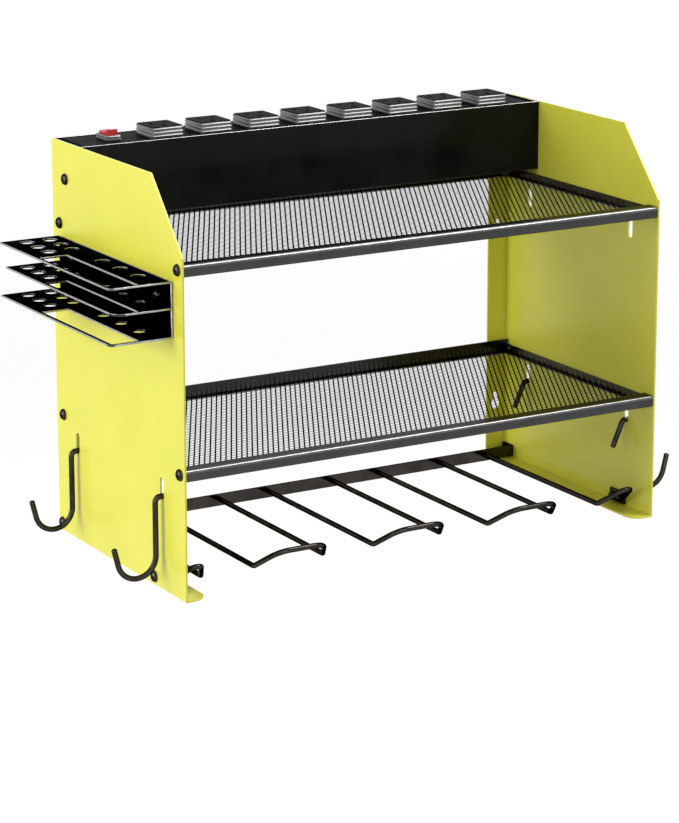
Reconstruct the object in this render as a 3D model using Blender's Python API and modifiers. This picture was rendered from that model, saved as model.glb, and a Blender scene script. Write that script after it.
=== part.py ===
"""Wall mounted power tool organizer.

Two folded side plates carry two mesh shelves, a trough with a power strip, a wire
rack with drill slots below, a tool holder on the left side and four loose J-hooks.
Blender 4.5, metres, +Z up, +X to the right, the wall is the plane Y = 0 and the front
faces -Y. Heights are counted from the underside of the side plates, and one empty
carries everything down so that the origin lies in the middle of the trough's back.
"""
import math

import bmesh
import bpy
from mathutils import Matrix, Vector

MM = 0.001

# Overall sizes
WIDTH = 440 * MM
DEPTH = 224 * MM
HEIGHT = 327 * MM
SHEET = 1.5 * MM
FIT_GAP = 0.3 * MM
OVERRUN = 2 * MM
WELD_DISTANCE = 0.01 * MM

# Side plates
FRONT_EDGE_RISE = 15 * MM
CHAMFER_DEPTH = 50 * MM
FLANGE_WIDTH = 20 * MM
FLANGE_CORNER = 12 * MM
BEND_RELIEF = 1.5 * MM
KEYHOLE_HEAD = 9 * MM
KEYHOLE_NECK = 4.8 * MM
KEYHOLE_RISE = 9 * MM
LOWER_KEYHOLE_HEIGHT = 48 * MM
UPPER_KEYHOLE_DROP = 63 * MM

# Hook slots in the side plates
HOOK_SLOT_WIDTH = 6 * MM
HOOK_SLOT_HEIGHT = 18 * MM
HOOK_SLOT_SETBACK = 38 * MM
LOWER_SLOT_DROP = 4.5 * MM
UPPER_SLOT_DROP = 5 * MM

# Shelf trays
LOWER_TRAY_BOTTOM = 95.5 * MM
TRAY_SHEET = 1.2 * MM
TRAY_WALL_SPACE = 5.5 * MM
TROUGH_CLEARANCE = 13 * MM
LIP_HEIGHT = 9.5 * MM
LIP_RETURN = 12 * MM
SIDE_RIM_HEIGHT = 8 * MM
REAR_RIM_HEIGHT = 12 * MM
TRAY_LEDGE = 5 * MM
MESH_SHEET = 0.8 * MM
MESH_STRAND = 3 * MM
MESH_COLUMNS = 14
MESH_ROWS = 4

# Screws
SCREW_HEAD_RADIUS = 4.7 * MM
SCREW_HEAD_RISE = 3 * MM
SCREW_SHANK_RADIUS = 2 * MM
SCREW_REACH = 7 * MM
SCREW_SETBACK = 7.5 * MM
TRAY_SCREW_RISE = 5 * MM
HEAD_STEPS = 4
TURN_STEPS = 12

# Power strip trough
TROUGH_DEPTH = 50 * MM
TROUGH_HEIGHT = 59 * MM
TROUGH_SHEET = 1.2 * MM

# Power strip
STRIP_END_SPACE = 5 * MM
STRIP_TOP_DROP = 0.6 * MM
STRIP_SIDE_SPACE = 0.6 * MM
STRIP_WALL = 2 * MM
STRIP_COVER = 2 * MM
OUTLET_COUNT = 8
FIRST_OUTLET_SPACE = 69.7 * MM
LAST_OUTLET_SPACE = 30.8 * MM
OUTLET_WIDTH = 28 * MM
OUTLET_DEPTH = 28 * MM
OUTLET_FORWARD = 2.5 * MM
OUTLET_RISE = 9 * MM
OUTLET_SINK = 10 * MM
OUTLET_CORNER = 1.2 * MM
BLADE_SPACING = 12.7 * MM
BLADE_SLOT_WIDTH = 1.8 * MM
NEUTRAL_SLOT_LENGTH = 8 * MM
LIVE_SLOT_LENGTH = 6.6 * MM
BLADE_LINE_OFFSET = 4.5 * MM
GROUND_HOLE_RADIUS = 2.4 * MM
GROUND_HOLE_OFFSET = 11.9 * MM
BUS_THICKNESS = 1 * MM
BUS_WIDTH = 6 * MM
BUS_SPACING = 8.5 * MM

# Rocker switch
SWITCH_SPACE = 39 * MM
BEZEL_LENGTH = 20 * MM
BEZEL_WIDTH = 12 * MM
BEZEL_RISE = 4 * MM
BEZEL_RIM = 1.2 * MM
SWITCH_BODY_DEPTH = 13 * MM
ROCKER_LENGTH = 15 * MM
ROCKER_WIDTH = 9 * MM
ROCKER_END_RISE = 4.1 * MM
ROCKER_DIP_RISE = 2.4 * MM
ROCKER_SKIRT = 1.2 * MM
ROCKER_BOSS_RADIUS = 2.8 * MM
ROCKER_CLEARANCE = 0.6 * MM
ROCKER_TILT = math.radians(9)
ROCKER_PIVOT_DROP = 0.5 * MM

# Cord gland
GLAND_SPACE = 20 * MM
GLAND_FLANGE_RADIUS = 8 * MM
GLAND_FLANGE = 2 * MM
GLAND_NECK_RADIUS = 5.5 * MM
GLAND_TIP_RADIUS = 4.6 * MM
GLAND_BORE_RADIUS = 3.3 * MM
GLAND_LENGTH = 8 * MM

# Tool holder on the left side
HOLDER_DROP = 5 * MM
TOP_TIER_SPACING = 20.5 * MM
BOTTOM_TIER_SPACING = 22.5 * MM
TIER_REACH = 53.5 * MM
MIDDLE_TIER_REACH = 49 * MM
TIER_CORNER = 4 * MM
MIDDLE_TIER_CORNER = 9 * MM
HOLDER_FRONT_SETBACK = 15 * MM
HOLDER_REAR_SETBACK = 14 * MM
HOLDER_EDGE = 3 * MM
DRIVER_HOLE_RADIUS = 5.5 * MM
DRIVER_HOLE_OFFSET = 14 * MM
FIRST_DRIVER_SETBACK = 30 * MM
DRIVER_HOLE_SHARES = (0, 0.27, 0.54)
PLIERS_SLOT_OFFSET = 28 * MM
PLIERS_SLOT_REAR_SPACE = 70 * MM
BIT_HOLE_RADIUS = 5.5 * MM
BIT_HOLE_PITCH = 20 * MM
BIT_HOLE_OFFSETS = (15 * MM, 35 * MM)
BIT_HOLE_ROWS = 3
BIT_END_SETBACK = 12 * MM
HOLDER_SCREW_RISE = 3.5 * MM
NUT_WIDTH = 7 * MM
NUT_THICKNESS = 3.2 * MM

# Drill rack
WIRE_RADIUS = 2.25 * MM
RACK_DIVIDERS = 3
DIVIDER_HALF_WIDTH = 31.5 * MM
RAIL_HEIGHT = 7.3 * MM
RAIL_FRONT_SETBACK = 35 * MM
RAIL_REAR_SPACE = 16 * MM
NOSE_SETBACK = 13.5 * MM
NOSE_HEIGHT = 23 * MM
NOSE_NARROWING = 11 * MM
NOSE_BEND = 15 * MM
END_NOSE_BEND = 5 * MM
RAIL_BEND = 5 * MM
BEND_STEPS = 4
REAR_BAR_THICKNESS = 2 * MM
REAR_BAR_HEIGHT = 10.4 * MM
RACK_TAB_THICKNESS = 2 * MM
RACK_TAB_LENGTH = 21 * MM
END_NARROWING = 6 * MM
RACK_SCREW_SETBACK = 52 * MM

# J-hooks
HOOK_REACH = 6 * MM
HOOK_ELBOW = 4 * MM
HOOK_BOW_RADIUS = 16.5 * MM
HOOK_DROP = 46.35 * MM
HOOK_TIP_LENGTH = 15 * MM
HOOK_TIP_LEAN = math.radians(14)
HOOK_TAIL_LENGTH = 25 * MM
HOOK_TAIL_LEAN = math.radians(24)
HOOK_SEAT = 0.6 * MM
BOW_STEPS = 8

# Values worked out from the sizes
HALF_WIDTH = WIDTH / 2
INNER_FACE = HALF_WIDTH - SHEET
TRAY_HALF = INNER_FACE - FIT_GAP
FRONT = -DEPTH
TROUGH_BOTTOM = HEIGHT - TROUGH_HEIGHT
MOUNT_HEIGHT = HEIGHT - TROUGH_HEIGHT / 2
SCREW_HOLE_RADIUS = SCREW_SHANK_RADIUS + FIT_GAP
UPPER_TRAY_BOTTOM = TROUGH_BOTTOM - TROUGH_CLEARANCE
TRAY_BOTTOMS = {"lower": LOWER_TRAY_BOTTOM, "upper": UPPER_TRAY_BOTTOM}
TRAY_REAR = -TRAY_WALL_SPACE
TRAY_SCREW_SETBACKS = (SCREW_SETBACK, DEPTH - TRAY_WALL_SPACE - SCREW_SETBACK)
FRONT_EDGE_HEIGHT = UPPER_TRAY_BOTTOM + FRONT_EDGE_RISE
KEYHOLE_HEIGHTS = (LOWER_KEYHOLE_HEIGHT, TROUGH_BOTTOM - UPPER_KEYHOLE_DROP)
LOWER_SLOT_BOTTOM = LOWER_TRAY_BOTTOM - LOWER_SLOT_DROP - HOOK_SLOT_HEIGHT
UPPER_SLOT_BOTTOM = UPPER_TRAY_BOTTOM - UPPER_SLOT_DROP - HOOK_SLOT_HEIGHT
SLOT_SETBACKS = (HOOK_SLOT_SETBACK, DEPTH - HOOK_SLOT_SETBACK)
HOOK_PIVOT_HEIGHT = LOWER_SLOT_BOTTOM + WIRE_RADIUS + HOOK_SEAT
STRIP_LENGTH = 2 * (TRAY_HALF - TROUGH_SHEET - STRIP_END_SPACE)
STRIP_MIDDLE_Y = -TROUGH_DEPTH / 2
STRIP_WIDTH = TROUGH_DEPTH - 2 * (TROUGH_SHEET + STRIP_SIDE_SPACE)
STRIP_BOTTOM = TROUGH_BOTTOM + TROUGH_SHEET + FIT_GAP
COVER_TOP = HEIGHT - STRIP_TOP_DROP
BASE_TOP = COVER_TOP - STRIP_COVER - FIT_GAP
OUTLET_LINE_Y = STRIP_MIDDLE_Y - OUTLET_FORWARD
OUTLET_ROOM = WIDTH - FIRST_OUTLET_SPACE - LAST_OUTLET_SPACE
OUTLET_PITCH = (OUTLET_ROOM - OUTLET_WIDTH) / (OUTLET_COUNT - 1)
FIRST_OUTLET_X = FIRST_OUTLET_SPACE + OUTLET_WIDTH / 2 - HALF_WIDTH
SWITCH_X = SWITCH_SPACE - HALF_WIDTH
GLAND_X = HALF_WIDTH - GLAND_SPACE
HOLDER_TOP = UPPER_TRAY_BOTTOM - HOLDER_DROP
MIDDLE_TIER_HEIGHT = HOLDER_TOP - TOP_TIER_SPACING
TIER_HEIGHTS = (MIDDLE_TIER_HEIGHT - BOTTOM_TIER_SPACING, MIDDLE_TIER_HEIGHT, HOLDER_TOP)
HOLDER_LENGTH = DEPTH - HOLDER_FRONT_SETBACK - HOLDER_REAR_SETBACK
HOLDER_SCREW_HEIGHT = UPPER_SLOT_BOTTOM + HOLDER_SCREW_RISE
BIT_ROOM = BIT_END_SETBACK + (BIT_HOLE_ROWS - 1) * BIT_HOLE_PITCH
DRIVER_ROOM = HOLDER_LENGTH - FIRST_DRIVER_SETBACK - BIT_ROOM
RACK_SCREW_SETBACKS = (RACK_SCREW_SETBACK, DEPTH - SCREW_SETBACK)

# Directions for sheets drawn flat: local X, local Y and the normal
FLAT = Matrix.Identity(3)
SIDEWAYS = Matrix(((0, 0, 1), (1, 0, 0), (0, 1, 0)))
UPRIGHT = Matrix(((1, 0, 0), (0, 0, -1), (0, 1, 0)))


def clear_scene():
    for old in list(bpy.data.objects):
        bpy.data.objects.remove(old, do_unlink=True)


def new_collection(name):
    group = bpy.data.collections.new(name)
    bpy.context.scene.collection.children.link(group)
    return group


def new_material(name, colour, roughness, metallic=0.0):
    material = bpy.data.materials.new(name)
    material.use_nodes = True
    shader = material.node_tree.nodes["Principled BSDF"]
    shader.inputs["Base Color"].default_value = (*colour, 1.0)
    shader.inputs["Roughness"].default_value = roughness
    shader.inputs["Metallic"].default_value = metallic
    return material


clear_scene()
ORGANIZER = new_collection("power_tool_organizer")
CUTTERS = new_collection("cutters")
ROOT = bpy.data.objects.new("organizer_origin", None)
ORGANIZER.objects.link(ROOT)
ROOT.location = (0, 0, -MOUNT_HEIGHT)

YELLOW_GREEN = new_material("yellow_green_powder_coat", (0.62, 0.70, 0.04), 0.35)
BLACK_COAT = new_material("black_satin_coat", (0.02, 0.02, 0.022), 0.45)
GLOSS_BLACK = new_material("black_gloss_coat", (0.012, 0.012, 0.012), 0.15)
BLACK_CHROME = new_material("black_chrome", (0.05, 0.05, 0.05), 0.2, 1.0)
BLACK_PLASTIC = new_material("black_plastic", (0.02, 0.02, 0.02), 0.5)
GREY_PLASTIC = new_material("grey_plastic", (0.09, 0.09, 0.095), 0.5)
RED_PLASTIC = new_material("red_plastic", (0.75, 0.02, 0.02), 0.25)
BRASS = new_material("brass", (0.75, 0.55, 0.22), 0.3, 1.0)
RUBBER = new_material("black_rubber", (0.02, 0.02, 0.02), 0.7)


def finish(thing, material):
    """Puts a finished piece into the organizer and gives it its material."""
    ORGANIZER.objects.link(thing)
    thing.parent = ROOT
    if not thing.data.materials:
        thing.data.materials.append(material)
    return thing


def helper(thing):
    """Puts a cutting or joining shape into the cutters' collection."""
    CUTTERS.objects.link(thing)
    thing.parent = ROOT
    thing.hide_render = True
    thing.display_type = "WIRE"
    return thing


def combine(target, tool, operation):
    modifier = target.modifiers.new(operation.lower(), "BOOLEAN")
    modifier.operation = operation
    modifier.solver = "EXACT"
    modifier.object = helper(tool)


def mesh_object(name, shape):
    """Closes a bmesh into an object of the given name."""
    mesh = bpy.data.meshes.new(name)
    shape.to_mesh(mesh)
    shape.free()
    return bpy.data.objects.new(name, mesh)


def box(name, low, high):
    """A block between two corners, with its origin in its middle."""
    low, high = Vector(low), Vector(high)
    shape = bmesh.new()
    bmesh.ops.create_cube(shape, size=1)
    bmesh.ops.scale(shape, vec=high - low, verts=shape.verts)
    block = mesh_object(name, shape)
    block.location = (low + high) / 2
    return block


def rod(name, start, direction, radius, length):
    """A round bar from a point along a direction."""
    shape = bmesh.new()
    bmesh.ops.create_cone(
        shape, cap_ends=True, segments=2 * TURN_STEPS, radius1=radius, radius2=radius, depth=length
    )
    bar = mesh_object(name, shape)
    direction = Vector(direction)
    bar.rotation_mode = "QUATERNION"
    bar.rotation_quaternion = direction.to_track_quat("Z", "Y")
    bar.location = Vector(start) + direction * length / 2
    return bar


def solid_mesh(thing):
    """The evaluated mesh of an object, with its loose caps joined on."""
    bpy.context.scene.collection.objects.link(thing)
    bpy.context.view_layer.update()
    graph = bpy.context.evaluated_depsgraph_get()
    mesh = bpy.data.meshes.new_from_object(thing.evaluated_get(graph))
    shape = bmesh.new()
    shape.from_mesh(mesh)
    bmesh.ops.remove_doubles(shape, verts=shape.verts, dist=WELD_DISTANCE)
    bmesh.ops.recalc_face_normals(shape, faces=shape.faces)
    shape.to_mesh(mesh)
    shape.free()
    bpy.data.objects.remove(thing, do_unlink=True)
    return mesh


def sheet(name, outline, holes, thickness, place, directions=FLAT):
    """A flat sheet with holes; place is the origin of its outline on its middle plane."""
    curve = bpy.data.curves.new(name, "CURVE")
    curve.dimensions = "2D"
    curve.fill_mode = "BOTH"
    curve.extrude = thickness / 2
    for loop in [outline, *holes]:
        spline = curve.splines.new("POLY")
        spline.points.add(len(loop) - 1)
        for point, (along, across) in zip(spline.points, loop):
            point.co = (along, across, 0, 1)
        spline.use_cyclic_u = True
    plate = bpy.data.objects.new(name, solid_mesh(bpy.data.objects.new(name, curve)))
    plate.matrix_basis = Matrix.Translation(place) @ directions.to_4x4()
    return plate


def turned(name, profile, steps=TURN_STEPS):
    """A profile of radius and height pairs, from top to bottom, turned about local Z."""
    shape = bmesh.new()
    corners = [shape.verts.new((radius, 0, height)) for radius, height in profile]
    for first, second in zip(corners, corners[1:]):
        shape.edges.new((first, second))
    if profile[0][0] > 0:
        shape.edges.new((corners[-1], corners[0]))
    piece = mesh_object(name, shape)
    screw = piece.modifiers.new("turn", "SCREW")
    screw.steps = screw.render_steps = steps
    screw.use_merge_vertices = True
    screw.merge_threshold = WELD_DISTANCE
    return piece


def wire(name, points, radius=WIRE_RADIUS):
    """A round wire along a list of points."""
    curve = bpy.data.curves.new(name, "CURVE")
    curve.dimensions = "3D"
    curve.bevel_depth = radius
    curve.bevel_resolution = 2
    curve.use_fill_caps = True
    spline = curve.splines.new("POLY")
    spline.points.add(len(points) - 1)
    for point, spot in zip(spline.points, points):
        point.co = (*spot, 1)
    return bpy.data.objects.new(name, curve)


def rectangle(left, bottom, right, top):
    return [(left, bottom), (right, bottom), (right, top), (left, top)]


def arc(centre, radius, start, end, steps):
    """Points on an arc, both ends included, with its angles in radians."""
    angles = [start + (end - start) * step / steps for step in range(steps + 1)]
    return [(centre[0] + radius * math.cos(a), centre[1] + radius * math.sin(a)) for a in angles]


def circle(centre, radius, steps=TURN_STEPS):
    return arc(centre, radius, 0, 2 * math.pi * (steps - 1) / steps, steps - 1)


def slot_outline(centre, bottom, width, height):
    """An upright slot with a round top and bottom."""
    radius = width / 2
    top_arc = arc((centre, bottom + height - radius), radius, 0, math.pi, HEAD_STEPS)
    bottom_arc = arc((centre, bottom + radius), radius, math.pi, 2 * math.pi, HEAD_STEPS)
    return top_arc + bottom_arc


def keyhole(centre, height):
    """A round head hole with a narrow neck above it."""
    head, neck = KEYHOLE_HEAD / 2, KEYHOLE_NECK / 2
    opening = math.asin(neck / head)
    start, end = math.pi / 2 + opening, math.pi * 5 / 2 - opening
    lower = arc((centre, height), head, start, end, TURN_STEPS)
    upper = arc((centre, height + KEYHOLE_RISE), neck, 0, math.pi, HEAD_STEPS)
    return lower + upper


def filleted(points, radii, steps=BEND_STEPS):
    """The corners of a path, each replaced by a round bend of its own radius."""
    points = [Vector(point) for point in points]
    path = [points[0]]
    for before, corner, after, radius in zip(points, points[1:], points[2:], radii):
        back, forth = (before - corner).normalized(), (after - corner).normalized()
        half = back.angle(forth) / 2
        run = radius / math.tan(half)
        centre = corner + (back + forth).normalized() * radius / math.sin(half)
        start = (corner + back * run - centre).normalized()
        end = (corner + forth * run - centre).normalized()
        for step in range(steps + 1):
            path.append(centre + start.slerp(end, step / steps) * radius)
    path.append(points[-1])
    return path


def side_plate(side):
    """A side plate with its bottom and wall flanges; side is -1 on the left, +1 on the right."""
    name = "left_side_plate" if side < 0 else "right_side_plate"
    outline = [
        (FRONT, 0),
        (0, 0),
        (0, HEIGHT),
        (FRONT + CHAMFER_DEPTH, HEIGHT),
        (FRONT, FRONT_EDGE_HEIGHT),
    ]
    holes = []
    for setback in SLOT_SETBACKS:
        for bottom in (LOWER_SLOT_BOTTOM, UPPER_SLOT_BOTTOM):
            holes.append(slot_outline(FRONT + setback, bottom, HOOK_SLOT_WIDTH, HOOK_SLOT_HEIGHT))
    screws = [(FRONT + setback, RAIL_HEIGHT) for setback in RACK_SCREW_SETBACKS]
    screws.append((STRIP_MIDDLE_Y, MOUNT_HEIGHT))
    for bottom in TRAY_BOTTOMS.values():
        for setback in TRAY_SCREW_SETBACKS:
            screws.append((FRONT + setback, bottom + TRAY_SCREW_RISE))
    holes += [circle(spot, SCREW_HOLE_RADIUS) for spot in screws]
    edge = HALF_WIDTH - FLANGE_WIDTH
    middle = side * (HALF_WIDTH + edge) / 2
    plate = sheet(name, outline, holes, FLANGE_WIDTH, (middle, 0, 0), SIDEWAYS)

    relief = SHEET + BEND_RELIEF
    space = [
        (FRONT - OVERRUN, SHEET),
        (-relief, SHEET),
        (-relief, -OVERRUN),
        (OVERRUN, -OVERRUN),
        (OVERRUN, relief),
        (-SHEET, relief),
        (-SHEET, TROUGH_BOTTOM - BEND_RELIEF),
        (OVERRUN, TROUGH_BOTTOM - BEND_RELIEF),
        (OVERRUN, HEIGHT + OVERRUN),
        (FRONT - OVERRUN, HEIGHT + OVERRUN),
    ]
    place = (side * (edge - OVERRUN + INNER_FACE) / 2, 0, 0)
    inside = sheet(name + "_space", space, [], INNER_FACE - edge + OVERRUN, place, SIDEWAYS)
    combine(plate, inside, "DIFFERENCE")

    centre = (edge + FLANGE_CORNER, FRONT + FLANGE_CORNER)
    corner = arc(centre, FLANGE_CORNER, math.pi * 3 / 2, math.pi, HEAD_STEPS)
    corner += [
        (edge - OVERRUN, FRONT + FLANGE_CORNER),
        (edge - OVERRUN, FRONT - OVERRUN),
        (edge + FLANGE_CORNER, FRONT - OVERRUN),
    ]
    corner = [(side * along, across) for along, across in corner]
    combine(plate, sheet(name + "_corner", corner, [], 2 * relief, (0, 0, 0)), "DIFFERENCE")

    line = side * (edge + INNER_FACE) / 2
    for height in KEYHOLE_HEIGHTS:
        cutter = sheet(name + "_keyhole", keyhole(line, height), [], 2 * relief, (0, 0, 0), UPRIGHT)
        combine(plate, cutter, "DIFFERENCE")
    return finish(plate, YELLOW_GREEN)


def shelf_tray(name, bottom):
    """A tray frame: a narrow ledge under the mesh, a front lip with a return, and three rims."""
    lip_top, rim_top = bottom + LIP_HEIGHT, bottom + SIDE_RIM_HEIGHT
    lip_end = FRONT + LIP_RETURN + TRAY_SHEET
    rear_start = TRAY_REAR - 2 * TRAY_SHEET
    outline = [
        (FRONT, bottom),
        (TRAY_REAR, bottom),
        (TRAY_REAR, bottom + REAR_RIM_HEIGHT),
        (rear_start, bottom + REAR_RIM_HEIGHT),
        (rear_start, rim_top),
        (lip_end, rim_top),
        (lip_end, lip_top),
        (FRONT, lip_top),
    ]
    tray = sheet(name, outline, [], 2 * TRAY_HALF, (0, 0, 0), SIDEWAYS)
    inner_front, inner_rear = FRONT + TRAY_SHEET, TRAY_REAR - TRAY_SHEET
    above = bottom + REAR_RIM_HEIGHT + OVERRUN
    space = [
        (inner_front, bottom + TRAY_SHEET),
        (inner_rear, bottom + TRAY_SHEET),
        (inner_rear, above),
        (FRONT + LIP_RETURN, above),
        (FRONT + LIP_RETURN, lip_top - TRAY_SHEET),
        (inner_front, lip_top - TRAY_SHEET),
    ]
    inside = sheet(name + "_space", space, [], 2 * (TRAY_HALF - TRAY_SHEET), (0, 0, 0), SIDEWAYS)
    combine(tray, inside, "DIFFERENCE")
    reach = TRAY_HALF - TRAY_LEDGE
    window_low = (-reach, FRONT + TRAY_LEDGE, bottom - OVERRUN)
    window_high = (reach, TRAY_REAR - TRAY_LEDGE, bottom + TRAY_SHEET + OVERRUN)
    combine(tray, box(name + "_window", window_low, window_high), "DIFFERENCE")
    for setback in TRAY_SCREW_SETBACKS:
        start = (-TRAY_HALF - OVERRUN, FRONT + setback, bottom + TRAY_SCREW_RISE)
        bore = rod(name + "_bore", start, (1, 0, 0), SCREW_HOLE_RADIUS, 2 * (TRAY_HALF + OVERRUN))
        combine(tray, bore, "DIFFERENCE")
    return finish(tray, BLACK_COAT)


def shelf_mesh(name, bottom):
    """Flattened diamond mesh, its long diagonal from front to back, lying on a tray's ledge."""
    half = TRAY_HALF - TRAY_SHEET - FIT_GAP
    front = FRONT + TRAY_SHEET + FIT_GAP
    rear = TRAY_REAR - TRAY_SHEET - FIT_GAP
    reach, run = half - TRAY_LEDGE, (rear - front) / 2 - TRAY_LEDGE
    middle = (front + rear) / 2
    pitch_x, pitch_y = 2 * reach / MESH_COLUMNS, 2 * run / MESH_ROWS
    half_x, half_y = (pitch_x - MESH_STRAND) / 2, (pitch_y - MESH_STRAND) / 2
    holes = []
    for row in range(2 * MESH_ROWS - 1):
        columns = MESH_COLUMNS - row % 2
        for column in range(columns):
            x = (column - (columns - 1) / 2) * pitch_x
            y = middle + (row + 1 - MESH_ROWS) * pitch_y / 2
            holes.append([(x + half_x, y), (x, y + half_y), (x - half_x, y), (x, y - half_y)])
    height = bottom + TRAY_SHEET + FIT_GAP + MESH_SHEET / 2
    deck = sheet(name, rectangle(-half, front, half, rear), holes, MESH_SHEET, (0, 0, height))
    return finish(deck, BLACK_COAT)


def trough():
    """The open tray behind the upper shelf that holds the power strip."""
    low = (-TRAY_HALF, -TROUGH_DEPTH, TROUGH_BOTTOM)
    high = (TRAY_HALF, 0, HEIGHT)
    shell = box("power_strip_trough", low, high)
    inset = TROUGH_SHEET
    cavity_low = (low[0] + inset, low[1] + inset, low[2] + inset)
    cavity_high = (high[0] - inset, high[1] - inset, high[2] + OVERRUN)
    combine(shell, box("trough_cavity", cavity_low, cavity_high), "DIFFERENCE")
    reach = GLAND_NECK_RADIUS + ROCKER_CLEARANCE
    floor_start = (GLAND_X, STRIP_MIDDLE_Y, TROUGH_BOTTOM - OVERRUN)
    hole = rod("trough_gland_hole", floor_start, (0, 0, 1), reach, 2 * OVERRUN + inset)
    combine(shell, hole, "DIFFERENCE")
    start = (-TRAY_HALF - OVERRUN, STRIP_MIDDLE_Y, MOUNT_HEIGHT)
    length = 2 * (TRAY_HALF + OVERRUN)
    bore = rod("trough_screw_holes", start, (1, 0, 0), SCREW_HOLE_RADIUS, length)
    combine(shell, bore, "DIFFERENCE")
    return finish(shell, GLOSS_BLACK)


def strip_base():
    """The strip's deep housing, open on top."""
    half_x, half_y = STRIP_LENGTH / 2, STRIP_WIDTH / 2
    low = (-half_x, STRIP_MIDDLE_Y - half_y, STRIP_BOTTOM)
    high = (half_x, STRIP_MIDDLE_Y + half_y, BASE_TOP)
    base = box("strip_base", low, high)
    wall = STRIP_WALL
    cavity_low = (low[0] + wall, low[1] + wall, low[2] + wall)
    cavity_high = (high[0] - wall, high[1] - wall, high[2] + OVERRUN)
    combine(base, box("strip_cavity", cavity_low, cavity_high), "DIFFERENCE")
    start = (GLAND_X, STRIP_MIDDLE_Y, STRIP_BOTTOM - OVERRUN)
    radius = GLAND_NECK_RADIUS + FIT_GAP
    combine(base, rod("base_gland_hole", start, (0, 0, 1), radius, 2 * OVERRUN + wall), "DIFFERENCE")
    return finish(base, BLACK_PLASTIC)


def outlet_x(number):
    return FIRST_OUTLET_X + number * OUTLET_PITCH


def strip_cover():
    """The strip's lid with a window for each outlet and one for the switch."""
    half_x, half_y = STRIP_LENGTH / 2, STRIP_WIDTH / 2
    windows = []
    width, depth = OUTLET_WIDTH / 2 + FIT_GAP, OUTLET_DEPTH / 2 + FIT_GAP
    for number in range(OUTLET_COUNT):
        middle = outlet_x(number)
        front, rear = -OUTLET_FORWARD - depth, -OUTLET_FORWARD + depth
        windows.append(rectangle(middle - width, front, middle + width, rear))
    length = BEZEL_LENGTH / 2 - BEZEL_RIM + FIT_GAP
    breadth = BEZEL_WIDTH / 2 - BEZEL_RIM + FIT_GAP
    windows.append(rectangle(SWITCH_X - breadth, -length, SWITCH_X + breadth, length))
    outline = rectangle(-half_x, -half_y, half_x, half_y)
    place = (0, STRIP_MIDDLE_Y, COVER_TOP - STRIP_COVER / 2)
    return finish(sheet("strip_cover", outline, windows, STRIP_COVER, place), BLACK_PLASTIC)


def outlets():
    """Eight raised outlet blocks, each with two blade slots and a ground hole."""
    half_x, half_y, corner = OUTLET_WIDTH / 2, OUTLET_DEPTH / 2, OUTLET_CORNER
    outline = []
    for turn, (side_x, side_y) in enumerate(((1, 1), (-1, 1), (-1, -1), (1, -1))):
        centre = (side_x * (half_x - corner), side_y * (half_y - corner))
        start = turn * math.pi / 2
        outline += arc(centre, corner, start, start + math.pi / 2, 2)
    holes = [circle((0, BLADE_LINE_OFFSET - GROUND_HOLE_OFFSET), GROUND_HOLE_RADIUS)]
    for side, length in ((-1, NEUTRAL_SLOT_LENGTH), (1, LIVE_SLOT_LENGTH)):
        x, y = side * BLADE_SPACING / 2, BLADE_LINE_OFFSET
        reach_x, reach_y = BLADE_SLOT_WIDTH / 2, length / 2
        holes.append(rectangle(x - reach_x, y - reach_y, x + reach_x, y + reach_y))
    middle = (OUTLET_RISE - OUTLET_SINK) / 2
    for number in range(OUTLET_COUNT):
        place = (outlet_x(number), OUTLET_LINE_Y, COVER_TOP + middle)
        name = "outlet_%d" % (number + 1)
        finish(sheet(name, outline, holes, OUTLET_RISE + OUTLET_SINK, place), GREY_PLASTIC)


def bus_bars():
    """Three brass strips under the outlets: neutral, live and ground."""
    top = COVER_TOP - OUTLET_SINK - FIT_GAP
    start = outlet_x(0) - OUTLET_WIDTH / 2
    end = outlet_x(OUTLET_COUNT - 1) + OUTLET_WIDTH / 2
    for row, name in enumerate(("neutral_bus_bar", "live_bus_bar", "ground_bus_bar")):
        middle = OUTLET_LINE_Y + (1 - row) * BUS_SPACING
        low = (start, middle - BUS_WIDTH / 2, top - BUS_THICKNESS)
        finish(box(name, low, (end, middle + BUS_WIDTH / 2, top)), BRASS)


def rocker_pivot():
    return (SWITCH_X, STRIP_MIDDLE_Y, COVER_TOP + FIT_GAP + BEZEL_RISE - ROCKER_PIVOT_DROP)


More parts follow.
